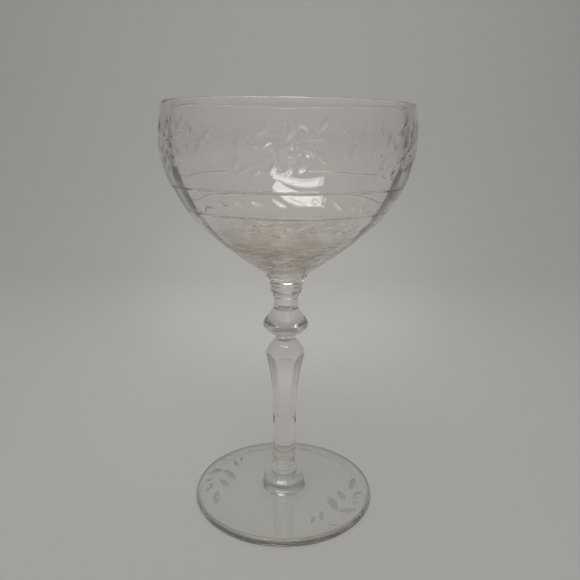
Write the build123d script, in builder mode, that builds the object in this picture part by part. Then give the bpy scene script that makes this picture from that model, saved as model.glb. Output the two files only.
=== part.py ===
"""Saucer champagne glass: an optic bowl on a ringed and knopped stem with a fluted baluster and a round foot.

Origin at the centre of the resting ring, +Z up along the glass's axis. Millimetres.
"""
from build123d import *
import os

# Overall sizes
overall_height = 158.0
rim_radius = 45.0
bowl_radius = 46.5
foot_radius = 36.8

# Heights where one worked piece of glass is joined to the next
bowl_joint = 95.4
collar_joint = 85.4
knop_joint = 69.6
stem_joint = 16.3
button_joint = 6.4

# Joint radii
bowl_joint_radius = 7.8
neck_radius = 4.7
waist_radius = 4.05
shaft_radius = 4.65
button_joint_radius = 8.1

# Bowl
widest_height = 146.4
rim_wall = 1.2
widest_wall = 1.4
bowl_floor = 98.2
cut_line_heights = (121.3, 129.8)
cut_line_width = 0.9
cut_line_depth = 0.3

# Knop
knop_radius = 8.8

# Stem
baluster_radius = 7.6
baluster_height = 62.8
shoulder_top = 68.9
taper_foot = (4.75, 40.0)
shaft_top = 30.0
flute_count = 6
flute_reach = 12.0
flute_low = (4.95, 31.0)
flute_high = (8.2, 65.6)

# Foot
foot_edge_top = 3.6
foot_edge_round = 1.6
foot_edge_middle = 1.7
foot_hollow = 1.2
foot_cone_top = (11.5, 4.5)
rest_ring_inner = 33.6
rest_ring_outer = 35.4


def bezier_radius_at(points, height):
    """Radius of a cubic Bezier outline (radius, height) where it passes a given height."""
    low, high = 0.0, 1.0
    for _ in range(40):
        t = (low + high) / 2
        weights = ((1 - t) ** 3, 3 * t * (1 - t) ** 2, 3 * t * t * (1 - t), t ** 3)
        if sum(w * p[1] for w, p in zip(weights, points)) < height:
            low = t
        else:
            high = t
    return sum(w * p[0] for w, p in zip(weights, points))


os.makedirs("parts", exist_ok=True)

# Bowl: a thin revolved shell that swells from the joint to its widest height, then draws in to the rim
bowl_low_outline = (
    (bowl_joint_radius, bowl_joint),
    (22.6, 105.5),
    (bowl_radius, 120.6),
    (bowl_radius, widest_height),
)
bowl_high_outline = (
    (bowl_radius, widest_height),
    (bowl_radius, 150.0),
    (rim_radius + 0.9, 154.0),
    (rim_radius, overall_height - rim_wall / 2),
)
bowl_inner_high_outline = (
    (rim_radius - rim_wall, overall_height - rim_wall / 2),
    (rim_radius - rim_wall + 0.9, 154.0),
    (bowl_radius - widest_wall, 150.0),
    (bowl_radius - widest_wall, widest_height),
)
bowl_inner_low_outline = (
    (bowl_radius - widest_wall, widest_height),
    (bowl_radius - widest_wall, 120.4),
    (14.0, bowl_floor),
    (0, bowl_floor),
)

with BuildPart() as bowl:
    with BuildSketch(Plane.XZ):
        with BuildLine():
            Bezier(*bowl_low_outline)
            Bezier(*bowl_high_outline)
            ThreePointArc(
                bowl_high_outline[3],
                (rim_radius - rim_wall / 2, overall_height),
                bowl_inner_high_outline[0],
            )
            Bezier(*bowl_inner_high_outline)
            Bezier(*bowl_inner_low_outline)
            Polyline((0, bowl_floor), (0, bowl_joint), bowl_low_outline[0])
        make_face()
    revolve(axis=Axis.Z)
    # Two fine V-shaped lines cut round the outside
    with BuildSketch(Plane.XZ):
        for line_height in cut_line_heights:
            line_radius = bezier_radius_at(bowl_low_outline, line_height)
            with BuildLine():
                Polyline(
                    (line_radius - cut_line_depth, line_height),
                    (line_radius + 1.5, line_height + cut_line_width),
                    (line_radius + 1.5, line_height - cut_line_width),
                    close=True,
                )
            make_face()
    revolve(axis=Axis.Z, mode=Mode.SUBTRACT)
bowl.part.label = "bowl"

# Ring collar: four flared lips, each wider than the one below it
collar_outline = (
    (neck_radius, collar_joint),
    (neck_radius, 86.0),
    (5.3, 86.7),
    (5.0, 87.4),
    (6.2, 88.5),
    (6.3, 89.6),
    (5.9, 90.6),
    (6.5, 91.4),
    (6.4, 92.2),
    (8.1, 94.7),
    (bowl_joint_radius, bowl_joint),
)

with BuildPart() as ring_collar:
    with BuildSketch(Plane.XZ):
        with BuildLine():
            FilletPolyline(*collar_outline, radius=0.2)
            Polyline(collar_outline[-1], (0, bowl_joint), (0, collar_joint), collar_outline[0])
        make_face()
    revolve(axis=Axis.Z)
ring_collar.part.label = "ring_collar"

# Knop: a short neck over a double cone with a narrow rounded girdle, down to the waist
knop_outline = (
    (neck_radius, collar_joint),
    (neck_radius, 82.1),
    (knop_radius, 76.1),
    (knop_radius, 74.3),
    (6.5, 72.0),
    (waist_radius, 70.6),
    (waist_radius, knop_joint),
)

with BuildPart() as knop:
    with BuildSketch(Plane.XZ):
        with BuildLine():
            FilletPolyline(*knop_outline, radius=0.5)
            Polyline(knop_outline[-1], (0, knop_joint), (0, collar_joint), knop_outline[0])
        make_face()
    revolve(axis=Axis.Z)
knop.part.label = "knop"

# Baluster stem: shoulder, bulb and taper into a straight shaft, with six long flutes cut into it
shoulder_outline = (
    (waist_radius, shoulder_top),
    (5.4, 67.9),
    (baluster_radius, 65.2),
    (baluster_radius, baluster_height),
)
taper_outline = (
    (baluster_radius, baluster_height),
    (7.5, 60.5),
    (4.9, 52.0),
    taper_foot,
)
# A flute's floor, as its distance from the axis: it runs out of the shaft below and of the bulb above
flute_floor = (flute_low, (4.2, 36.5), (4.22, 44.5), (4.85, 52.4), (6.2, 60.1), flute_high)

with BuildPart() as baluster_stem:
    with BuildSketch(Plane.XZ):
        with BuildLine():
            Line((waist_radius, knop_joint), shoulder_outline[0])
            Bezier(*shoulder_outline)
            Bezier(*taper_outline)
            Polyline(taper_foot, (shaft_radius, shaft_top), (shaft_radius, stem_joint))
            Polyline((shaft_radius, stem_joint), (0, stem_joint), (0, knop_joint), (waist_radius, knop_joint))
        make_face()
    revolve(axis=Axis.Z)
    with BuildSketch(Plane.XZ):
        with BuildLine():
            Spline(*flute_floor)
            Polyline(flute_high, (flute_reach, flute_high[1]), (flute_reach, flute_low[1]), flute_low)
        make_face()
    flute_cutter = extrude(amount=baluster_radius, both=True, mode=Mode.PRIVATE)
    with PolarLocations(0, flute_count, start_angle=-90):
        add(flute_cutter, mode=Mode.SUBTRACT)
baluster_stem.part.label = "baluster_stem"

# Foot button: a flared ring, a groove, and a flattened ball that stands on the foot
button_outline = (
    (shaft_radius, stem_joint),
    (shaft_radius, 15.2),
    (5.6, 12.6),
    (5.6, 11.5),
    (4.9, 10.7),
    (5.3, 10.1),
    (6.8, 9.5),
    (8.35, 8.1),
    (8.35, 7.0),
    (button_joint_radius, button_joint),
)

with BuildPart() as foot_button:
    with BuildSketch(Plane.XZ):
        with BuildLine():
            FilletPolyline(*button_outline, radius=0.2)
            Polyline(button_outline[-1], (0, button_joint), (0, stem_joint), button_outline[0])
        make_face()
    revolve(axis=Axis.Z)
foot_button.part.label = "foot_button"

# Foot: a shallow cone with a rounded edge, hollowed a little underneath so that it rests on a narrow ring
with BuildPart() as foot:
    with BuildSketch(Plane.XZ):
        with BuildLine():
            Bezier((button_joint_radius, button_joint), (8.4, 5.3), (9.6, 4.7), foot_cone_top)
            Line(foot_cone_top, (foot_radius - foot_edge_round, foot_edge_top))
            ThreePointArc(
                (foot_radius - foot_edge_round, foot_edge_top),
                (foot_radius, foot_edge_middle),
                (rest_ring_outer, 0),
            )
            Line((rest_ring_outer, 0), (rest_ring_inner, 0))
            Bezier((rest_ring_inner, 0), (31.0, 0.9), (16.0, foot_hollow), (0, foot_hollow))
            Polyline((0, foot_hollow), (0, button_joint), (button_joint_radius, button_joint))
        make_face()
    revolve(axis=Axis.Z)
foot.part.label = "foot"

for piece in (bowl, ring_collar, knop, baluster_stem, foot_button, foot):
    export_step(piece.part, f"parts/{piece.part.label}.step")
    print(piece.part.label, round(piece.part.volume / 1000, 3), "cm3")
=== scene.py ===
# %% [markdown]
# # A saucer champagne glass in Blender
# The real glass was made hot, in six gathers of clear glass that are fused into one: a bowl blown into a
# ribbed mould, a collar of stacked rings, a neck with a double-cone knop, a pressed baluster with six
# flutes, a small button, and a flat foot. When it was cold, an engraver held it against turning wheels and
# cut two fine lines and sprays of leaves into it. The CAD model gives the places and sizes. This lesson
# gives every piece its true surface and its glass.

import bpy
import math
import numpy as np
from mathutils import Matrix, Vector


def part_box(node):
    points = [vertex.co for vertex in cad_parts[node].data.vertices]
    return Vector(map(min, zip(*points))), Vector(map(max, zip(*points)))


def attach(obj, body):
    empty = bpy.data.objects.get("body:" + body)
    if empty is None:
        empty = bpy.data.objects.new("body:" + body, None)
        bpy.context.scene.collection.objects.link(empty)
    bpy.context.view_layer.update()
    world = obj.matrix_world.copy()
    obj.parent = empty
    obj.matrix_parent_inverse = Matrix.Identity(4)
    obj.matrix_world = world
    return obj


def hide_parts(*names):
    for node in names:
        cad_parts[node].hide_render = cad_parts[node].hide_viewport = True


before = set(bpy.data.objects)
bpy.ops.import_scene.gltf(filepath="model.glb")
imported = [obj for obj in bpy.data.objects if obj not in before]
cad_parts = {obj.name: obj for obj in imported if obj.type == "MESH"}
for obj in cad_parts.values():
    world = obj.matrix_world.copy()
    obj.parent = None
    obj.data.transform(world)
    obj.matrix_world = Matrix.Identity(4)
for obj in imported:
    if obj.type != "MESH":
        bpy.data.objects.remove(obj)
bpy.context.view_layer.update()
MM = 0.001
print("nodes:", sorted(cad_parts))

# %% [markdown]
# ## Heights from the frame
# Each piece starts and ends where its CAD node does, so the joints are read from the nodes' boxes. Outlines
# below are written in millimetres, as (radius, height), because that is how a glass maker's drawing is
# written.

# %% Read the joints' heights
def reach(node):
    """Lowest height, highest height and largest radius of a CAD node, in millimetres."""
    low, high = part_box(node)
    return low.z / MM, high.z / MM, high.x / MM


FOOT_LOW, FOOT_TOP, FOOT_RADIUS = reach("foot")
BUTTON_LOW, BUTTON_TOP, BUTTON_RADIUS = reach("foot_button")
STEM_LOW, STEM_TOP, BALUSTER_RADIUS = reach("baluster_stem")
KNOP_LOW, KNOP_TOP, KNOP_RADIUS = reach("knop")
COLLAR_LOW, COLLAR_TOP, COLLAR_RADIUS = reach("ring_collar")
BOWL_LOW, BOWL_TOP, BOWL_RADIUS = reach("bowl")
NECK_RADIUS = 4.7
WAIST_RADIUS = 4.05
SHAFT_RADIUS = 4.65
BUTTON_JOINT = 8.1
print("glass is", round(BOWL_TOP - FOOT_LOW, 1), "mm tall,", round(2 * BOWL_RADIUS, 1), "mm wide")

# %% [markdown]
# ## Outlines
# A turned shape is one outline spun about the axis. Long swells are cubic Bezier curves, and the small
# rings are straight facets with softened corners, as fire leaves them. Both are then stepped evenly along
# their length, so that the mesh has quads of one size.

# %% Helpers that draw an outline
def bezier(*corners, count=120):
    """Cubic Bezier: the four corners weighted by (1-t)^3, 3t(1-t)^2, 3t^2(1-t) and t^3, for t from 0 to 1."""
    t = np.linspace(0, 1, count)[:, None]
    weights = np.hstack([(1 - t) ** 3, 3 * t * (1 - t) ** 2, 3 * t**2 * (1 - t), t**3])
    return weights @ np.array(corners, float)


def softened(*corners, cut=0.3, count=7):
    """Straight facets through corners, where each inner corner p gives way to the curve
    (1-t)^2 a + 2t(1-t) p + t^2 b. Here a and b are on the two facets, `cut` away from p, or at 0.45 of
    a facet that is too short for that."""
    corners = np.array(corners, float)
    t = np.linspace(0, 1, count)[:, None]
    parts = [corners[:1]]
    for before, corner, after in zip(corners[:-2], corners[1:-1], corners[2:]):
        ends = []
        for other in (before, after):
            length = np.linalg.norm(other - corner)
            ends.append(corner + (other - corner) * min(cut / length, 0.45))
        parts.append((1 - t) ** 2 * ends[0] + 2 * t * (1 - t) * corner + t**2 * ends[1])
    return np.vstack(parts + [corners[-1:]])


def run_along(outline):
    """Length run so far at each point: the sum of the distances between neighbours."""
    return np.concatenate([[0], np.cumsum(np.linalg.norm(np.diff(outline, axis=0), axis=1))])


def stepped(outline, step, fine_heights=(), reach=0.0, fine_step=0.1):
    """The same line in even steps, with each coordinate as a function of the length run so far. Within
    `reach` of the fine heights the steps are `fine_step` instead."""
    run = run_along(outline)
    keep = np.concatenate([[True], np.diff(run) > 1e-6])
    places = np.linspace(0, run[-1], max(int(round(run[-1] / step)), 2) + 1)
    for height in fine_heights:
        middle = np.interp(height, outline[:, 1], run)
        near = middle + np.arange(-reach, reach + fine_step / 2, fine_step)
        places = np.sort(np.concatenate([places[np.abs(places - middle) > reach + fine_step], near]))
    return np.column_stack([np.interp(places, run[keep], outline[keep, i]) for i in (0, 1)])


def outward(outline):
    """Unit normals of an outline that runs up the outside: its tangent (dr, dz) turned to (dz, -dr)."""
    tangent = np.gradient(outline, axis=0)
    normal = np.column_stack([tangent[:, 1], -tangent[:, 0]])
    return normal / np.linalg.norm(normal, axis=1)[:, None]


# %% [markdown]
# ## From outline to skin
# The skin is a grid: rows follow the outline and columns go round. `turned` gives the grid's points, and a
# second array pushes each point inwards along the outline's normal, which is how the cuts and the optic
# hollows are made. The two ends close in fans. Where a fan is a joint between two gathers there is no
# surface in the real glass, so it takes the second material, which light passes as if nothing were there.

# %% Helpers that turn an outline and close the skin
def turned(outline, azimuths, sink=0.0):
    """Points (r sin a, -r cos a, z) for every outline point and azimuth, moved into the glass by `sink`
    along the outline's normal."""
    normal = outward(outline)
    radius = outline[:, :1] - sink * normal[:, :1]
    height = outline[:, 1:] - sink * normal[:, 1:]
    radius = radius + 0 * azimuths
    height = height + 0 * azimuths
    return np.stack([radius * np.sin(azimuths), -radius * np.cos(azimuths), height], -1)


def skin(name, points, materials, joint_start, joint_end, masks=None):
    """One closed mesh from rows of points in millimetres, with quads between rows and a fan to a centre
    at each end."""
    rows, columns = points.shape[:2]
    ring = np.arange(columns)
    after = np.roll(ring, -1)
    starts = (np.arange(rows - 1) * columns)[:, None]
    quads = np.stack([starts + ring, starts + after, starts + columns + after, starts + columns + ring], -1)
    first, last = rows * columns, rows * columns + 1
    top = (rows - 1) * columns
    low_fan = np.stack([after, ring, np.full(columns, first)], -1)
    high_fan = np.stack([top + ring, top + after, np.full(columns, last)], -1)
    centres = [points[0].mean(0), points[-1].mean(0)]
    places = np.vstack([points.reshape(-1, 3), centres]) * MM
    mesh = bpy.data.meshes.new(name)
    faces = quads.reshape(-1, 4).tolist() + low_fan.tolist() + high_fan.tolist()
    mesh.from_pydata(places.tolist(), [], faces)
    slots = np.zeros(len(mesh.polygons), np.int32)
    quad_count = (rows - 1) * columns
    slots[quad_count : quad_count + columns] = int(joint_start)
    slots[quad_count + columns :] = int(joint_end)
    for material in materials:
        mesh.materials.append(material)
    mesh.polygons.foreach_set("material_index", slots)
    mesh.polygons.foreach_set("use_smooth", np.ones(len(slots), bool))
    sharpen(mesh, columns, top, joint_start, joint_end)
    for mask, values in (masks or {}).items():
        layer = mesh.attributes.new(mask, "FLOAT", "POINT")
        layer.data.foreach_set("value", np.append(values.ravel(), [0, 0]).astype(np.float32))
    mesh.validate()
    mesh.update()
    piece = bpy.data.objects.new(name, mesh)
    bpy.context.collection.objects.link(piece)
    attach(piece, "root")
    print(name, "has", sum(len(p.vertices) - 2 for p in mesh.polygons), "triangles")
    return piece


def sharpen(mesh, columns, top, joint_start, joint_end):
    """Marks the rim of each joint fan as sharp, so that the wall's shading doesn't bend towards the joint."""
    ends = np.empty(len(mesh.edges) * 2, np.int32)
    mesh.edges.foreach_get("vertices", ends)
    ends = ends.reshape(-1, 2)
    sharp = np.zeros(len(ends), bool)
    if joint_start:
        sharp |= (ends < columns).all(1)
    if joint_end:
        sharp |= ((ends >= top) & (ends < top + columns)).all(1)
    layer = mesh.attributes.new("sharp_edge", "BOOLEAN", "EDGE")
    layer.data.foreach_set("value", sharp)


def all_round(columns):
    """Azimuths in radians, evenly spaced. Zero is at the front, -Y, and they grow towards +X."""
    return np.arange(columns) * 2 * np.pi / columns


# %% [markdown]
# ## The glass
# Clear glass is one Principled shader that transmits nearly all light; the small rest is haze from seeds
# and wear. What makes it look old and handmade is small too: faint ripples from the blowing, a little warm
# tint, and a few smears that change the gloss. A node group holds the patterns, so every piece can use them
# with its own values.
#
# Two masks on the mesh say where the surface is different. `cut` is 1 where the wheel left a leaf matte:
# there the group raises the roughness, adds fine scratches and mixes in the cut colour, a painted shade
# that darkens the foot's leaves, and a rough coat gives the pale bloom of ground glass. The edge mask is
# painted shade: it is 1 on the foot's edge and, more weakly, in the two fine lines, where it mixes in a dark
# tint so that they look deeper than the rest. The thick bottom of the bowl needs no mask: below a height it
# shows drawn strands, whose dark warm tint is painted shade and amber reflection.

# %% Node group: surface of old glass
def socket(group, name, kind, way, value=None):
    """One named input or output of a node group."""
    made = group.interface.new_socket(name=name, in_out=way, socket_type=kind)
    if value is not None:
        made.default_value = value


def link(tree, start, end):
    tree.links.new(start, end)


def node(tree, kind, **settings):
    """A new node with its properties set."""
    made = tree.nodes.new(kind)
    for key, value in settings.items():
        setattr(made, key, value)
    return made


def math_node(tree, operation, first, second):
    """A Math node on two numbers or sockets."""
    made = node(tree, "ShaderNodeMath", operation=operation)
    for place, value in enumerate((first, second)):
        if isinstance(value, (int, float)):
            made.inputs[place].default_value = value
        else:
            link(tree, value, made.inputs[place])
    return made.outputs[0]


def mixed(tree, share, first, second):
    """A colour mix: the first colour where the share is 0, the second where it is 1."""
    made = node(tree, "ShaderNodeMix", data_type="RGBA")
    link(tree, share, made.inputs["Factor"])
    link(tree, first, made.inputs["A"])
    link(tree, second, made.inputs["B"])
    return made.outputs["Result"]


def old_glass_group():
    """Colour: clear, the cut colour in cuts, which is painted shade on the foot, and a dark warm tint painted
    as shade and amber reflection, in strands below a height and fully where the painted shade input is 1.
    Roughness: smears and cuts. Height: slow ripples, scratches, and the strands again."""
    group = bpy.data.node_groups.new("old glass surface", "ShaderNodeTree")
    socket(group, "Vector", "NodeSocketVector", "INPUT")
    socket(group, "Cut", "NodeSocketFloat", "INPUT", 0.0)
    socket(group, "Painted shade", "NodeSocketFloat", "INPUT", 0.0)
    socket(group, "Clear", "NodeSocketColor", "INPUT", (1, 1, 1, 1))
    socket(group, "Cut grey", "NodeSocketColor", "INPUT", (1, 1, 1, 1))
    socket(group, "Thick tint", "NodeSocketColor", "INPUT", (1, 1, 1, 1))
    socket(group, "Thick from", "NodeSocketFloat", "INPUT", 0.0)
    socket(group, "Thick to", "NodeSocketFloat", "INPUT", -0.1)
    socket(group, "Ripple size", "NodeSocketFloat", "INPUT", 90.0)
    socket(group, "Ripple height", "NodeSocketFloat", "INPUT", 0.6)
    socket(group, "Smear", "NodeSocketFloat", "INPUT", 0.03)
    socket(group, "Cut roughness", "NodeSocketFloat", "INPUT", 0.3)
    socket(group, "Color", "NodeSocketColor", "OUTPUT")
    socket(group, "Roughness", "NodeSocketFloat", "OUTPUT")
    socket(group, "Height", "NodeSocketFloat", "OUTPUT")
    inside = node(group, "NodeGroupInput")
    outside = node(group, "NodeGroupOutput")
    vector = inside.outputs["Vector"]
    cut = inside.outputs["Cut"]
    apart = node(group, "ShaderNodeSeparateXYZ")
    link(group, vector, apart.inputs[0])
    thick = node(group, "ShaderNodeMapRange", interpolation_type="SMOOTHSTEP")
    link(group, apart.outputs["Z"], thick.inputs["Value"])
    link(group, inside.outputs["Thick from"], thick.inputs["From Min"])
    link(group, inside.outputs["Thick to"], thick.inputs["From Max"])
    thickness = thick.outputs["Result"]
    drawn = node(group, "ShaderNodeMapping")
    drawn.inputs["Scale"].default_value = (1, 1, 5)
    link(group, vector, drawn.inputs["Vector"])
    streaky = noise(group, drawn.outputs[0], 95.0, 2.0, 1.2)
    # The strands' colour is painted: their dark warm tint stands for shade and amber reflection in the thick
    # bottom.
    strands = node(group, "ShaderNodeMapRange")
    strands.inputs["From Min"].default_value = 0.42
    strands.inputs["From Max"].default_value = 0.6
    strands.inputs["To Min"].default_value = 0.15
    link(group, streaky, strands.inputs["Value"])
    painted_strand_shade = math_node(group, "MULTIPLY", thickness, strands.outputs["Result"])
    # Share of the dark tint: the strands' painted shade or the edge mask's painted shade, whichever is more.
    deepest = math_node(group, "MAXIMUM", painted_strand_shade, inside.outputs["Painted shade"])
    clear_with_painted_shade = mixed(group, deepest, inside.outputs["Clear"], inside.outputs["Thick tint"])
    # In cuts the colour becomes the cut colour: painted shade on the foot, nearly clear on the bowl.
    link(group, mixed(group, cut, clear_with_painted_shade, inside.outputs["Cut grey"]), outside.inputs["Color"])
    patch = node(group, "ShaderNodeMapRange")
    patch.inputs["From Min"].default_value = 0.55
    patch.inputs["From Max"].default_value = 0.75
    link(group, noise(group, vector, 160.0, 4.0, 1.5), patch.inputs["Value"])
    smears = math_node(group, "MULTIPLY", patch.outputs["Result"], inside.outputs["Smear"])
    matte = math_node(group, "MULTIPLY", cut, inside.outputs["Cut roughness"])
    link(group, math_node(group, "ADD", smears, matte), outside.inputs["Roughness"])
    ripple = noise(group, vector, inside.outputs["Ripple size"], 1.0)
    waves = math_node(group, "MULTIPLY", ripple, inside.outputs["Ripple height"])
    grit = math_node(group, "MULTIPLY", noise(group, vector, 2600.0, 2.0), cut)
    scratches = math_node(group, "MULTIPLY", grit, 0.04)
    streak = math_node(group, "MULTIPLY", streaky, thickness)
    streak = math_node(group, "MULTIPLY", streak, 2.8)
    fine = math_node(group, "ADD", scratches, streak)
    link(group, math_node(group, "ADD", waves, fine), outside.inputs["Height"])
    return group


def noise(tree, vector, scale, detail, distortion=0.0):
    """A Noise texture's value, from 0 to 1, mostly near 0.5. The scale is a number or a socket."""
    made = node(tree, "ShaderNodeTexNoise")
    made.inputs["Detail"].default_value = detail
    made.inputs["Distortion"].default_value = distortion
    link(tree, vector, made.inputs["Vector"])
    if isinstance(scale, (int, float)):
        made.inputs["Scale"].default_value = scale
    else:
        link(tree, scale, made.inputs["Scale"])
    return made.outputs["Fac"]


OLD_GLASS = old_glass_group()


# %% Glass materials
def glass_material(name, deepening, haze, coat=0.0, cut_mask=False, painted_shade_mask=False, **values):
    """Principled glass that swallows 1 - exp(-deepening x length) of the light on each leg inside it, in
    metres, which makes long legs through a bottom or an edge darker. The swallowed share turns into a dull
    brown.
    Shadow and diffuse rays pass it a little dimmed, as light does round a thin glass."""
    material = bpy.data.materials.new(name)
    material.use_nodes = True
    tree = material.node_tree
    tree.nodes.clear()
    place = node(tree, "ShaderNodeTexCoord")
    surface = node(tree, "ShaderNodeGroup", node_tree=OLD_GLASS)
    for label, value in values.items():
        surface.inputs[label.replace("_", " ").capitalize()].default_value = value
    link(tree, place.outputs["Object"], surface.inputs["Vector"])
    bump = node(tree, "ShaderNodeBump")
    bump.inputs["Distance"].default_value = 0.0006
    bump.inputs["Strength"].default_value = 0.5
    link(tree, surface.outputs["Height"], bump.inputs["Height"])
    shader = node(tree, "ShaderNodeBsdfPrincipled")
    shader.inputs["Transmission Weight"].default_value = 1 - haze
    shader.inputs["IOR"].default_value = 1.52
    link(tree, surface.outputs["Color"], shader.inputs["Base Color"])
    link(tree, surface.outputs["Roughness"], shader.inputs["Roughness"])
    link(tree, bump.outputs["Normal"], shader.inputs["Normal"])
    if cut_mask:
        mask = node(tree, "ShaderNodeAttribute", attribute_name="cut")
        link(tree, mask.outputs["Fac"], surface.inputs["Cut"])
        if coat:
            link(tree, math_node(tree, "MULTIPLY", mask.outputs["Fac"], coat), shader.inputs["Coat Weight"])
            shader.inputs["Coat Roughness"].default_value = 0.45
            shader.inputs["Coat IOR"].default_value = 2.0
    # The edge mask paints shade: it mixes the dark tint into the foot's rounded edge and the two cut lines.
    if painted_shade_mask:
        edge = node(tree, "ShaderNodeAttribute", attribute_name="edge")
        link(tree, edge.outputs["Fac"], surface.inputs["Painted shade"])
    path = node(tree, "ShaderNodeLightPath")
    faces = node(tree, "ShaderNodeNewGeometry")
    kept = math_node(tree, "POWER", math.exp(-deepening), path.outputs["Ray Length"])
    lost = math_node(tree, "SUBTRACT", 1.0, kept)
    lost = math_node(tree, "MULTIPLY", lost, faces.outputs["Backfacing"])
    taken = node(tree, "ShaderNodeBsdfDiffuse")
    taken.inputs["Color"].default_value = (0.10, 0.075, 0.045, 1)
    deep = node(tree, "ShaderNodeMixShader")
    link(tree, lost, deep.inputs["Fac"])
    link(tree, shader.outputs[0], deep.inputs[1])
    link(tree, taken.outputs[0], deep.inputs[2])
    passing = math_node(tree, "MAXIMUM", path.outputs["Is Shadow Ray"], path.outputs["Is Diffuse Ray"])
    clear = node(tree, "ShaderNodeBsdfTransparent")
    clear.inputs["Color"].default_value = (0.93, 0.93, 0.92, 1)
    mix = node(tree, "ShaderNodeMixShader")
    link(tree, passing, mix.inputs["Fac"])
    link(tree, deep.outputs[0], mix.inputs[1])
    link(tree, clear.outputs[0], mix.inputs[2])
    out = node(tree, "ShaderNodeOutputMaterial")
    link(tree, mix.outputs[0], out.inputs["Surface"])
    return material


def joint_material():
    """The plane where two gathers are fused: nothing is there, so its alpha is zero."""
    material = bpy.data.materials.new("fused joint")
    material.use_nodes = True
    shader = material.node_tree.nodes["Principled BSDF"]
    shader.inputs["Alpha"].default_value = 0.0
    return material


FUSED = joint_material()
# In the bowl the dark warm tint is painted shade and amber reflection in the bottom's strands, and painted
# shade in the two cut lines.
BOWL_GLASS = glass_material(
    "blown bowl glass", 8.0, haze=0.033, coat=0.9, cut_mask=True, painted_shade_mask=True,
    clear=(1.0, 0.975, 0.966, 1), cut_grey=(1.0, 0.98, 0.97, 1), thick_tint=(0.60, 0.54, 0.43, 1),
    thick_from=0.1165, thick_to=0.106, ripple_size=60.0, ripple_height=0.9, smear=0.03, cut_roughness=0.28,
)
STEM_GLASS = glass_material(
    "pressed stem glass", 1.5, haze=0.015,
    clear=(1.0, 0.975, 0.962, 1), ripple_size=140.0, ripple_height=0.35, smear=0.02,
)
BUTTON_GLASS = glass_material(
    "worn button glass", 0.5, haze=0.25,
    clear=(1.0, 0.985, 0.965, 1), ripple_size=140.0, ripple_height=0.35, smear=0.04,
)
# On the foot the cut colour and the dark tint are painted shade, in the leaves and on the rounded edge.
FOOT_GLASS = glass_material(
    "spun foot glass", 15.0, haze=0.07, cut_mask=True, painted_shade_mask=True,
    clear=(0.99, 0.985, 0.975, 1), cut_grey=(0.76, 0.76, 0.74, 1), thick_tint=(0.62, 0.60, 0.54, 1),
    ripple_size=70.0, ripple_height=0.6, smear=0.04, cut_roughness=0.4,
)
print("materials:", [m.name for m in (BOWL_GLASS, STEM_GLASS, BUTTON_GLASS, FOOT_GLASS, FUSED)])

# %% [markdown]
# ## How a wheel cuts a leaf
# The engraver presses the glass on the edge of a spinning wheel. The wheel bites deepest in the middle of
# the stroke and leaves a pointed lens. One function gives that depth on the unrolled surface, and all
# leaves are strokes with their own place, direction, length and width. `side` and `ahead` are the distances
# in millimetres from the middle of the leaf, round the glass and up its wall (or out along its foot).

# %% A wheel's stroke
def stroke(side, ahead, angle, length, width, depth, bend=0.0):
    """Depth of one cut. Along the stroke x runs from -1 to 1, the half width is width/2 (1 - x^2), and the
    depth is depth (1 - x^2)(1 - y^2), with y the share of the half width. `bend` bows the middle line by
    bend (x^2 - 1/3)."""
    turn = math.radians(angle)
    x = (side * math.cos(turn) + ahead * math.sin(turn)) / (length / 2)
    across = -side * math.sin(turn) + ahead * math.cos(turn) - bend * (x**2 - 1 / 3)
    taper = np.clip(1 - x**2, 0, 1)
    y = across / np.maximum(width / 2 * taper, 1e-6)
    return depth * taper * np.clip(1 - y**2, 0, 1) * (np.abs(x) < 1)


def wrapped(angle):
    """The same angle between -pi and pi."""
    return (angle + np.pi) % (2 * np.pi) - np.pi


# %% [markdown]
# ## Bowl
# The bowl was blown into a ribbed mould and then worked smooth outside, so the pattern is left inside the
# wall, as seven soft upright hollows where the wall is thinner. Blowing spreads them unevenly, so they
# aren't equally deep and they wander a little. Outside there are the two fine cut lines, a garland of leaf
# sprays above them, and a row of slanted leaves below. Real geometry carries all of these, because glass
# shows a surface by how it bends light, and a bump alone can't bend the edges.

# %% Bowl outline
RIM_WALL = 1.2
RIM_RADIUS = 45.0
WIDEST = 146.4
JOINT_RADIUS = 7.8
BOWL_FLOOR = 98.2
OUTER_RADIUS = 46.5
INNER_RADIUS = 45.1
RIM_LOW = BOWL_TOP - RIM_WALL / 2
RIM_ARC = np.linspace(0, np.pi, 13)

bowl_outside = np.vstack([
    bezier((JOINT_RADIUS, BOWL_LOW), (22.6, 105.5), (OUTER_RADIUS, 120.6), (OUTER_RADIUS, WIDEST), count=400),
    bezier(
        (OUTER_RADIUS, WIDEST), (OUTER_RADIUS, 150.0), (RIM_RADIUS + 0.9, 154.0), (RIM_RADIUS, RIM_LOW),
    )[1:],
])
bowl_rim = np.column_stack([
    RIM_RADIUS - RIM_WALL / 2 + RIM_WALL / 2 * np.cos(RIM_ARC),
    RIM_LOW + RIM_WALL / 2 * np.sin(RIM_ARC),
])
inner_rim_radius = RIM_RADIUS - RIM_WALL
bowl_inside = np.vstack([
    bezier(
        (inner_rim_radius, RIM_LOW), (inner_rim_radius + 0.9, 154.0),
        (INNER_RADIUS, 150.0), (INNER_RADIUS, WIDEST),
    ),
    bezier((INNER_RADIUS, WIDEST), (INNER_RADIUS, 120.4), (14.0, BOWL_FLOOR), (0.15, BOWL_FLOOR))[1:],
])
OUTSIDE_STEP = 0.62
INSIDE_STEP = 1.4
LINE_HEIGHTS = (121.3, 129.8)
LINE_WIDTH = 0.9
LINE_DEPTH = 0.28
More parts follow.
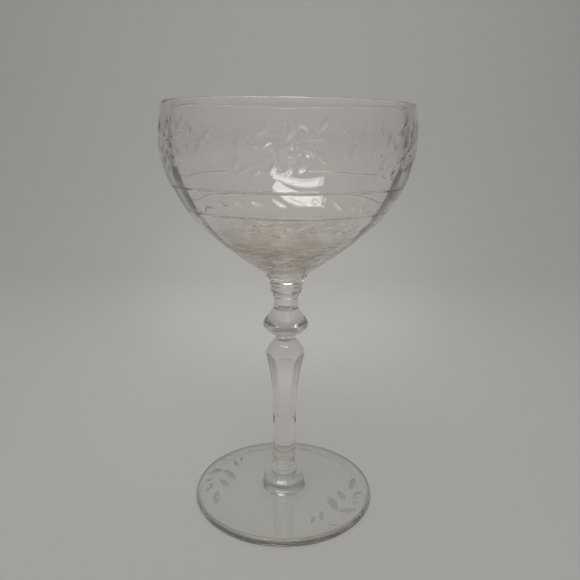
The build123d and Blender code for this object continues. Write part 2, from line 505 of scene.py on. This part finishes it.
# Share of painted shade that the edge mask gives the two cut lines.
LINE_PAINTED_SHADE = 0.4
LEAF_DEPTH = 0.36
LEAF_MATTE_DEPTH = 0.08
outside_rows = stepped(bowl_outside, OUTSIDE_STEP, LINE_HEIGHTS, LINE_WIDTH / 2 + 0.15, 0.12)
rim_rows = stepped(bowl_rim, 0.3)
inside_rows = stepped(bowl_inside, INSIDE_STEP)
print("bowl rows:", len(outside_rows), len(rim_rows), len(inside_rows))

# %% Cut lines and leaves on the outside
BOWL_COLUMNS = 480
around_bowl = all_round(BOWL_COLUMNS)
run_up = run_along(outside_rows)


def bowl_cut(azimuth, height, angle, length, width, bend):
    """One stroke on the bowl's outside, with azimuth in degrees and height in millimetres at the leaf's
    middle."""
    side = wrapped(around_bowl - math.radians(azimuth)) * outside_rows[:, :1]
    up = (run_up - np.interp(height, outside_rows[:, 1], run_up))[:, None]
    return stroke(side, up + 0 * side, angle, length, width, LEAF_DEPTH, bend)


def line_cut(height):
    """A line cut all round: depth (1 - (distance / half width)^2) above and below it."""
    away = (run_up - np.interp(height, outside_rows[:, 1], run_up)) / (LINE_WIDTH / 2)
    return (LINE_DEPTH * np.clip(1 - away**2, 0, 1))[:, None] + 0 * around_bowl


# Upper garland, as (azimuth from the spray's start, height, angle, length, width, bend): stalk, then leaves
SPRAY = (
    (15, 137.4, 24, 13.0, 0.9, -0.7),
    (27, 142.4, 29, 11.0, 0.9, -0.5),
    (39, 146.0, 2, 12.5, 0.9, -1.1),
    (49, 141.6, -72, 7.5, 0.8, -0.3),
    (10, 138.6, 60, 6.0, 2.2, 0.3),
    (18, 136.2, 58, 5.0, 1.6, 0.2),
    (24.5, 137.7, 55, 5.6, 1.9, 0.2),
    (30.7, 137.5, 55, 5.6, 1.9, 0.2),
    (36, 138.2, 52, 5.2, 1.7, 0.2),
    (31.5, 141.3, 6, 5.2, 1.3, 0.1),
    (31.3, 148.6, 62, 7.6, 3.2, 0.4),
    (12, 146.0, 75, 7.0, 2.8, 0.3),
    (16, 144.2, -52, 6.5, 2.4, -0.3),
    (21, 148.6, 34, 6.5, 2.6, 0.3),
    (43, 150.2, 50, 6.5, 2.6, 0.3),
    (42, 141.2, -42, 6.2, 2.2, -0.3),
    (54, 143.4, 68, 6.5, 2.6, 0.3),
    (58, 147.2, 48, 6.0, 2.2, 0.3),
)
SPRAY_STARTS = (-30, 30, 90, 150, 210, 270)
# Row of slanted leaves below the second line, in the same columns
ROW = (
    (0, 117.2, 24, 7.5, 2.3, 0.5),
    (15, 117.0, 30, 8.5, 2.4, 0.7),
    (30, 117.4, 20, 7.0, 2.0, 0.4),
)
ROW_STARTS = tuple(range(-8, 352, 45))

bowl_depth = sum(line_cut(height) for height in LINE_HEIGHTS)
leaf_depth = np.zeros_like(bowl_depth)
for starts, leaves in ((SPRAY_STARTS, SPRAY), (ROW_STARTS, ROW)):
    for start in starts:
        for azimuth, *rest in leaves:
            leaf_depth = np.maximum(leaf_depth, bowl_cut(start + azimuth, *rest))
line_share = bowl_depth / LINE_DEPTH
bowl_depth = np.maximum(bowl_depth, leaf_depth)
matte = np.clip(leaf_depth / LEAF_MATTE_DEPTH, 0, 1)
print("deepest cut in the bowl:", round(float(bowl_depth.max()), 2), "mm")

# %% Optic hollows on the inside, and the bowl's skin
OPTIC_COUNT = 7
OPTIC_WIDTH = 5.4
OPTIC_DEPTHS = np.array((0.12, 0.31, 0.3, 0.2, 0.2, 0.3, 0.31))
OPTIC_WANDER = 0.9
OPTIC_LOW = 100.0
OPTIC_PAST_RIM = 3.0
OPTIC_FADE = 12.0


def optic_reach(heights):
    """How much of its depth a hollow has, from 0 to 1. Each end fades over OPTIC_FADE by x^2 (3 - 2x), with
    x the share of that length above OPTIC_LOW, or below a point just past the rim."""
    rise = np.clip((heights - OPTIC_LOW) / OPTIC_FADE, 0, 1)
    fall = np.clip((BOWL_TOP + OPTIC_PAST_RIM - heights) / OPTIC_FADE, 0, 1)
    return rise**2 * (3 - 2 * rise) * fall**2 * (3 - 2 * fall)


hollow_number = np.round(around_bowl * OPTIC_COUNT / (2 * np.pi)).astype(int) % OPTIC_COUNT
wander = math.radians(OPTIC_WANDER) * np.sin(inside_rows[:, 1:] / 5.5 + 2.1 * hollow_number)
from_middle = wrapped(around_bowl * OPTIC_COUNT) / OPTIC_COUNT + wander
hollow_shape = np.exp(-((from_middle / math.radians(OPTIC_WIDTH)) ** 2))
hollow_depth = OPTIC_DEPTHS[hollow_number] * optic_reach(inside_rows[:, 1])[:, None] * hollow_shape
bowl_points = np.vstack([
    turned(outside_rows, around_bowl, bowl_depth),
    turned(rim_rows, around_bowl)[1:-1],
    turned(inside_rows, around_bowl, hollow_depth),
])
no_cut = np.zeros((len(bowl_points) - len(outside_rows), BOWL_COLUMNS))
# The edge mask paints shade into the two cut lines.
bowl_masks = {"cut": np.vstack([matte, no_cut]), "edge": np.vstack([LINE_PAINTED_SHADE * line_share, no_cut])}
bowl = skin("bowl_glass", bowl_points, [BOWL_GLASS, FUSED], True, False, bowl_masks)
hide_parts("bowl")

# %% [markdown]
# ## Ring collar
# Under the bowl the stem starts with four flared lips, each wider than the one below. They were pressed, so
# their edges are soft but their steps are clear.

# %% Ring collar
STEM_COLUMNS = 144
around_stem = all_round(STEM_COLUMNS)
collar_outline = softened(
    (NECK_RADIUS, COLLAR_LOW), (NECK_RADIUS, 86.0), (5.3, 86.7), (5.0, 87.4), (6.2, 88.5), (6.3, 89.6),
    (5.9, 90.6), (6.5, 91.4), (6.4, 92.2), (8.1, 94.7), (JOINT_RADIUS, COLLAR_TOP),
)
collar_points = turned(stepped(collar_outline, 0.12), around_stem)
collar = skin("collar_glass", collar_points, [STEM_GLASS, FUSED], True, True)
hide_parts("ring_collar")

# %% [markdown]
# ## Knop
# A short neck widens into two cones set base to base, with a narrow rounded girdle between them.

# %% Knop
knop_outline = softened(
    (WAIST_RADIUS, KNOP_LOW), (WAIST_RADIUS, 70.6), (6.5, 72.0), (KNOP_RADIUS, 74.3), (KNOP_RADIUS, 76.1),
    (NECK_RADIUS, 82.1), (NECK_RADIUS, KNOP_TOP), cut=0.6,
)
knop_points = turned(stepped(knop_outline, 0.15), around_stem)
knop = skin("knop_glass", knop_points, [STEM_GLASS, FUSED], True, True)
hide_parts("knop")

# %% [markdown]
# ## Baluster stem
# The stem swells into a bulb near its top. Six flutes are cut along it. A flute's floor is a plane at its
# own distance from the axis, so at azimuth a from its middle the surface stands at floor / cos(a), wherever
# that is less than the round stem's own radius.

# %% Baluster stem
stem_outline = np.vstack([
    np.array([[SHAFT_RADIUS, STEM_LOW], [SHAFT_RADIUS, 30.0], [4.75, 40.0]]),
    bezier((4.75, 40.0), (4.9, 52.0), (7.5, 60.5), (BALUSTER_RADIUS, 62.8))[1:],
    bezier((BALUSTER_RADIUS, 62.8), (BALUSTER_RADIUS, 65.2), (5.4, 67.9), (WAIST_RADIUS, 68.9))[1:],
    np.array([[WAIST_RADIUS, STEM_TOP]]),
])
FLUTES = 6
FLUTE_FLOOR = np.array([(4.95, 31.0), (4.2, 36.5), (4.22, 44.5), (4.85, 52.4), (6.2, 60.1), (8.2, 65.6)])


def smooth_through(points, places):
    """Catmull-Rom curve: between points p1 and p2 it is 1/2 (2 p1 + (p2 - p0) t
    + (2 p0 - 5 p1 + 4 p2 - p3) t^2 + (3 p1 - p0 - 3 p2 + p3) t^3), read at the given heights."""
    padded = np.vstack([2 * points[0] - points[1], points, 2 * points[-1] - points[-2]])
    t = np.linspace(0, 1, 24, endpoint=False)[:, None]
    parts = []
    for p0, p1, p2, p3 in zip(padded, padded[1:], padded[2:], padded[3:]):
        cubic = (2 * p0 - 5 * p1 + 4 * p2 - p3) * t**2 + (3 * p1 - p0 - 3 * p2 + p3) * t**3
        parts.append((2 * p1 + (p2 - p0) * t + cubic) / 2)
    line = np.vstack(parts + [points[-1:]])
    return np.interp(places, line[:, 1], line[:, 0], left=20.0, right=20.0)


stem_rows = stepped(stem_outline, 0.3)
from_flute = wrapped(around_stem * FLUTES) / FLUTES
fluted = smooth_through(FLUTE_FLOOR, stem_rows[:, 1])[:, None] / np.cos(from_flute)
stem_radius = np.minimum(stem_rows[:, :1], fluted)
stem_points = np.stack([
    stem_radius * np.sin(around_stem),
    -stem_radius * np.cos(around_stem),
    stem_rows[:, 1:] + 0 * around_stem,
], -1)
stem = skin("stem_glass", stem_points, [STEM_GLASS, FUSED], True, True)
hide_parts("baluster_stem")

# %% [markdown]
# ## Button
# Where the stem meets the foot there is a flared ring, a groove, and a flattened ball. It looks cloudier
# than the stem, so it has a glass of its own, with more haze. The shape is turned from one outline, like
# the knop's.

# %% Foot button
button_outline = softened(
    (BUTTON_JOINT, BUTTON_LOW), (BUTTON_RADIUS, 7.0), (BUTTON_RADIUS, 8.1), (6.8, 9.5), (5.3, 10.1),
    (4.9, 10.7), (5.6, 11.5), (5.6, 12.6), (SHAFT_RADIUS, 15.2), (SHAFT_RADIUS, BUTTON_TOP), cut=0.5,
)
button_points = turned(stepped(button_outline, 0.12), around_stem)
button = skin("button_glass", button_points, [BUTTON_GLASS, FUSED], True, True)
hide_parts("foot_button")

# %% [markdown]
# ## Foot
# The foot is a shallow cone with a rounded edge, hollow underneath so that it stands on a narrow ring. Two
# sprays of leaves are cut into its top, both pointing the same way round.

# %% Foot outline
EDGE_TOP = 3.6
EDGE_ROUND = 1.6
REST_INNER = 33.6
REST_OUTER = 35.4
FOOT_HOLLOW = 1.2
foot_under = np.vstack([
    bezier((0.15, FOOT_HOLLOW), (16.0, FOOT_HOLLOW), (31.0, 0.9), (REST_INNER, FOOT_LOW)),
    np.array([[REST_OUTER, FOOT_LOW]]),
])
foot_edge = bezier(
    (REST_OUTER, FOOT_LOW), (37.2, 0.4), (37.3, 3.5), (FOOT_RADIUS - EDGE_ROUND, EDGE_TOP), count=40,
)
foot_top = np.vstack([
    np.array([[FOOT_RADIUS - EDGE_ROUND, EDGE_TOP]]),
    bezier((11.5, 4.5), (9.6, 4.7), (8.4, 5.3), (BUTTON_JOINT, FOOT_TOP)),
])
under_rows = stepped(foot_under, 1.2)
edge_rows = stepped(foot_edge, 0.3)
top_rows = stepped(foot_top, 0.5)
print("foot rows:", len(under_rows), len(edge_rows), len(top_rows))

# %% Leaves on the foot
FOOT_COLUMNS = 480
around_foot = all_round(FOOT_COLUMNS)
# Leaves as (root azimuth, root radius, tip azimuth, tip radius, width), azimuths from the spray's start
FOOT_SPRAY = (
    (62, 28.0, 79, 30.8, 3.0),
    (45, 27.4, 57, 23.2, 3.0),
    (29, 28.2, 43, 20.8, 3.6),
    (11, 29.1, 18, 24.0, 2.0),
    (2, 28.8, 9, 25.4, 1.8),
    (54, 29.5, 62, 33.4, 1.6),
    (51, 29.2, 54, 32.1, 1.0),
    (45, 30.2, 48, 33.0, 1.0),
    (29, 28.8, 39, 34.0, 3.0),
    (13, 31.4, 18, 34.6, 1.6),
    (5, 32.6, 11, 35.0, 1.2),
)
FOOT_SPRAY_STARTS = (20, 220)
FOOT_LEAF_DEPTH = 0.35
FOOT_MATTE_DEPTH = 0.06


def foot_cut(root_azimuth, root_radius, tip_azimuth, tip_radius, width):
    """One stroke on the foot, from root to tip, on the plan seen from above."""
    ends = []
    for azimuth, radius in ((root_azimuth, root_radius), (tip_azimuth, tip_radius)):
        ends.append((radius * math.sin(math.radians(azimuth)), -radius * math.cos(math.radians(azimuth))))
    (root_x, root_y), (tip_x, tip_y) = ends
    x = top_rows[:, :1] * np.sin(around_foot) - (root_x + tip_x) / 2
    y = -top_rows[:, :1] * np.cos(around_foot) - (root_y + tip_y) / 2
    angle = math.degrees(math.atan2(tip_y - root_y, tip_x - root_x))
    length = math.hypot(tip_x - root_x, tip_y - root_y)
    return stroke(x, y, angle, length * 1.1, width, FOOT_LEAF_DEPTH, bend=0.35)


foot_depth = np.zeros((len(top_rows), FOOT_COLUMNS))
for start in FOOT_SPRAY_STARTS:
    for root_azimuth, root_radius, tip_azimuth, tip_radius, width in FOOT_SPRAY:
        cut = foot_cut(start + root_azimuth, root_radius, start + tip_azimuth, tip_radius, width)
        foot_depth = np.maximum(foot_depth, cut)
foot_matte = np.clip(foot_depth / FOOT_MATTE_DEPTH, 0, 1)
foot_points = np.vstack([
    turned(under_rows, around_foot),
    turned(edge_rows, around_foot)[1:-1],
    turned(top_rows, around_foot, foot_depth),
])
uncut = np.zeros((len(foot_points) - len(top_rows), FOOT_COLUMNS))
# The edge mask paints shade over the foot's whole rounded edge.
painted_edge_shade_share = np.zeros((len(foot_points), FOOT_COLUMNS))
painted_edge_shade_share[len(under_rows) : len(under_rows) + len(edge_rows) - 2] = 1.0
foot_masks = {"cut": np.vstack([uncut, foot_matte]), "edge": painted_edge_shade_share}
foot = skin("foot_glass", foot_points, [FOOT_GLASS, FUSED], False, True, foot_masks)
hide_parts("foot")

# %% [markdown]
# ## Stage
# The glass stands on a pale sheet that curves up behind it, so there is no horizon to refract. The sheet is
# one profile carried sideways.

# %% Floor and backdrop
SHEET_HALF_WIDTH = 1.7
SHEET_FRONT = -1.1
SHEET_BACK = 0.75
SHEET_CURVE = 0.35
SHEET_TOP = 1.5


def sheet_mesh():
    """Flat floor, a quarter circle of radius SHEET_CURVE, and an upright wall."""
    turn = np.linspace(0, np.pi / 2, 24)
    curve = SHEET_BACK - SHEET_CURVE + SHEET_CURVE * np.sin(turn)
    depth = np.concatenate([[SHEET_FRONT], curve, [SHEET_BACK]])
    height = np.concatenate([[0], SHEET_CURVE * (1 - np.cos(turn)), [SHEET_TOP]])
    sides = np.array([-SHEET_HALF_WIDTH, SHEET_HALF_WIDTH])
    x = sides[None, :] + 0 * depth[:, None]
    y = depth[:, None] + 0 * sides
    z = height[:, None] + 0 * sides
    points = np.stack([x, y, z], -1).reshape(-1, 3)
    rows = np.arange(len(depth) - 1) * 2
    faces = np.stack([rows, rows + 1, rows + 3, rows + 2], -1)
    mesh = bpy.data.meshes.new("paper_sheet")
    mesh.from_pydata(points.tolist(), [], faces.tolist())
    mesh.polygons.foreach_set("use_smooth", np.ones(len(mesh.polygons), bool))
    return mesh


paper = bpy.data.objects.new("paper_sheet", sheet_mesh())
bpy.context.collection.objects.link(paper)
paper_material = bpy.data.materials.new("pale paper")
paper_material.use_nodes = True
paper_shader = paper_material.node_tree.nodes["Principled BSDF"]
paper_shader.inputs["Base Color"].default_value = (0.72, 0.72, 0.70, 1)
paper_shader.inputs["Roughness"].default_value = 0.9
paper_shader.inputs["Specular IOR Level"].default_value = 0.1
paper.data.materials.append(paper_material)

# %% [markdown]
# ## Light
# Soft light comes from a skylight above and a little in front, with a dim room all round. It has two panes,
# and the wet-looking highlights in the bowl are pictures of them. A weak panel evens out the paper high up
# behind. A lamp over the camera throws a warm soft patch on the paper behind the stem, which lights the
# glass from behind. Its shade gives the wide part and is hidden from the glass, where it would show as a
# disc. Its small bulb gives the middle of the patch and the glints in the cuts.

# %% Lights and room
def panel(name, place, target, width, depth, power, colour=(1, 1, 1)):
    """A rectangular area light at `place`, in metres, that looks at `target`."""
    light = bpy.data.lights.new(name, "AREA")
    light.shape = "RECTANGLE"
    light.size = width
    light.size_y = depth
    light.energy = power
    light.color = colour
    lamp = bpy.data.objects.new(name, light)
    bpy.context.collection.objects.link(lamp)
    lamp.location = place
    aim = [t - p for t, p in zip(target, place)]
    flat = math.hypot(aim[0], aim[1])
    lamp.rotation_euler = (math.atan2(flat, -aim[2]), 0, math.atan2(-aim[0], aim[1]))
    return lamp


def lamp_light(name, power, cone, radius):
    """One part of the warm lamp over the camera: a spot of `cone` degrees that looks at the paper 35 cm
    behind the glass. A larger radius gives a softer edge."""
    light = bpy.data.lights.new(name, "SPOT")
    light.energy = power
    light.color = (1.0, 0.93, 0.88)
    light.spot_size = math.radians(cone)
    light.spot_blend = 1.0
    light.shadow_soft_size = radius
    lamp = bpy.data.objects.new(name, light)
    bpy.context.collection.objects.link(lamp)
    lamp.location = (0.0, -0.3, 0.36)
    lamp.rotation_euler = (math.atan2(0.65, 0.36), 0, 0)
    return lamp


GLASS_MIDDLE = (0, 0, 0.1)
panel("skylight near pane", (-0.14, -0.56, 1.05), GLASS_MIDDLE, 0.9, 0.15, 2.4, (1.0, 0.993, 0.985))
panel("skylight far pane", (-0.14, -0.31, 1.14), GLASS_MIDDLE, 0.9, 0.17, 2.7, (1.0, 0.993, 0.985))
panel("wall wash", (0.1, 0.3, 0.85), (0.06, 0.72, 0.25), 0.3, 0.2, 0.65, (1.0, 0.985, 0.96))
lamp_shade = lamp_light("lamp shade", 3.4, 37, 0.1)
lamp_shade.visible_glossy = False
lamp_shade.visible_transmission = False
lamp_light("lamp bulb", 2.3, 27, 0.02)
world = bpy.data.worlds.new("dim room")
bpy.context.scene.world = world
world.use_nodes = True
room = world.node_tree.nodes["Background"]
room.inputs["Color"].default_value = (0.62, 0.61, 0.6, 1)
room.inputs["Strength"].default_value = 0.18

# %% [markdown]
# ## Camera
# The camera stands a little lower than the rim and looks down at the stem, as one does when taking a
# picture of a glass on a table. Its place and lens were fitted together, so that the rim, the two cut lines
# and the foot show as ellipses of the right width and height.

# %% Camera
camera_data = bpy.data.cameras.new("camera")
camera_data.sensor_width = 36.0
camera_data.lens = 37.07
camera = bpy.data.objects.new("camera", camera_data)
bpy.context.collection.objects.link(camera)
CAMERA_PITCH = 14.615
CAMERA_ROLL = 0.8
camera.location = (0.0007, -0.22476, 0.14734)
camera.rotation_euler = (math.radians(90 - CAMERA_PITCH), math.radians(-CAMERA_ROLL), 0)
bpy.context.scene.camera = camera

# %% Light paths through many layers of glass
scene = bpy.context.scene
scene.cycles.max_bounces = 48
scene.cycles.transmission_bounces = 48
scene.cycles.glossy_bounces = 24
scene.cycles.transparent_max_bounces = 32
scene.cycles.caustics_reflective = False
scene.cycles.caustics_refractive = False
scene.cycles.sample_clamp_indirect = 6.0
scene.cycles.use_denoising = True
scene.view_settings.view_transform = "Standard"

# %% Finish
bpy.context.view_layer.update()
